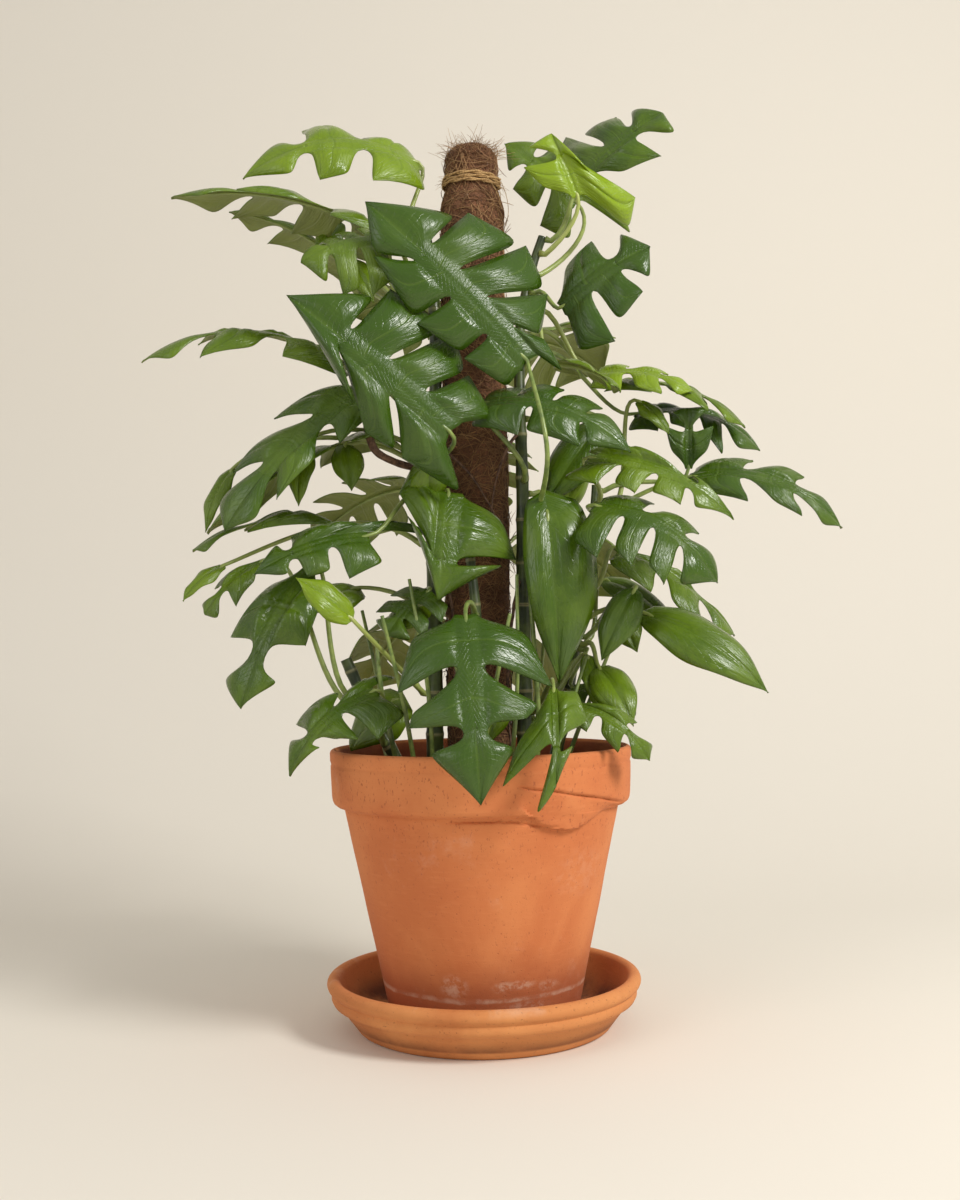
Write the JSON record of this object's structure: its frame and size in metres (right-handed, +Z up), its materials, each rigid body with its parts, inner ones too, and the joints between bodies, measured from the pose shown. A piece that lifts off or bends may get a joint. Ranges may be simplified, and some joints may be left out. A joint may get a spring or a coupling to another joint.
{
  "type": "potted split-leaf climbing house plant",
  "caption": "Climbing house plant with split glossy leaves on a coir pole, in a terracotta pot standing on a terracotta saucer.",
  "frame": {"origin": "centre of the saucer's underside, on the surface that the plant stands on", "axes": "+Z up along the pole, -Y towards the front of the plant, where most leaves face, +X to its right as seen from the front"},
  "size_m": [0.5515, 0.3562, 0.736],
  "materials": {
    "terracotta": "matt unglazed clay with white mineral marks",
    "saucer_clay": "matt unglazed clay",
    "potting_soil": "loose dark crumbs",
    "coir": "coarse matted fibre",
    "stake_wood": "bare wood",
    "jute_twine": "twisted natural fibre",
    "stem_green": "smooth green stem with paler rings",
    "leaf_green": "glossy green leaf"
  },
  "bodies": {
    "root": {"pot": "terracotta", "saucer": "saucer_clay", "soil": "potting_soil", "pole_stake": "stake_wood", "coir_wrap": "coir", "twine_tie": "jute_twine", "stem_left": "stem_green", "stem_right": "stem_green", "stem_front": "stem_green", "stem_side": "stem_green", "stem_cut": "stem_green", "stem_back": "stem_green", "leaf_a1": "leaf_green", "leaf_a2": "leaf_green", "leaf_a3": "leaf_green", "leaf_a4": "leaf_green", "leaf_b1": "leaf_green", "leaf_b2": "leaf_green", "leaf_b3": "leaf_green", "leaf_c1": "leaf_green", "leaf_c2": "leaf_green", "leaf_c3": "leaf_green", "leaf_c4": "leaf_green", "leaf_d1": "leaf_green", "leaf_d2": "leaf_green", "leaf_d3": "leaf_green", "leaf_d4": "leaf_green", "leaf_e1": "leaf_green", "leaf_e2": "leaf_green", "leaf_e3": "leaf_green", "leaf_e4": "leaf_green", "leaf_e5": "leaf_green", "leaf_f1": "leaf_green", "leaf_f2": "leaf_green", "leaf_f3": "leaf_green", "leaf_f4": "leaf_green", "leaf_g1": "leaf_green", "leaf_g2": "leaf_green", "leaf_g3": "leaf_green", "leaf_g4": "leaf_green", "leaf_g5": "leaf_green", "leaf_g6": "leaf_green", "leaf_h1": "leaf_green", "leaf_h2": "leaf_green", "leaf_h3": "leaf_green", "leaf_h4": "leaf_green", "leaf_h5": "leaf_green", "leaf_h6": "leaf_green", "leaf_h7": "leaf_green", "leaf_h8": "leaf_green", "leaf_h9": "leaf_green", "leaf_h10": "leaf_green", "leaf_k1": "leaf_green", "leaf_k2": "leaf_green", "leaf_k3": "leaf_green", "leaf_k4": "leaf_green", "leaf_k5": "leaf_green", "leaf_k6": "leaf_green", "leaf_k7": "leaf_green"}
  },
  "joints": []
}
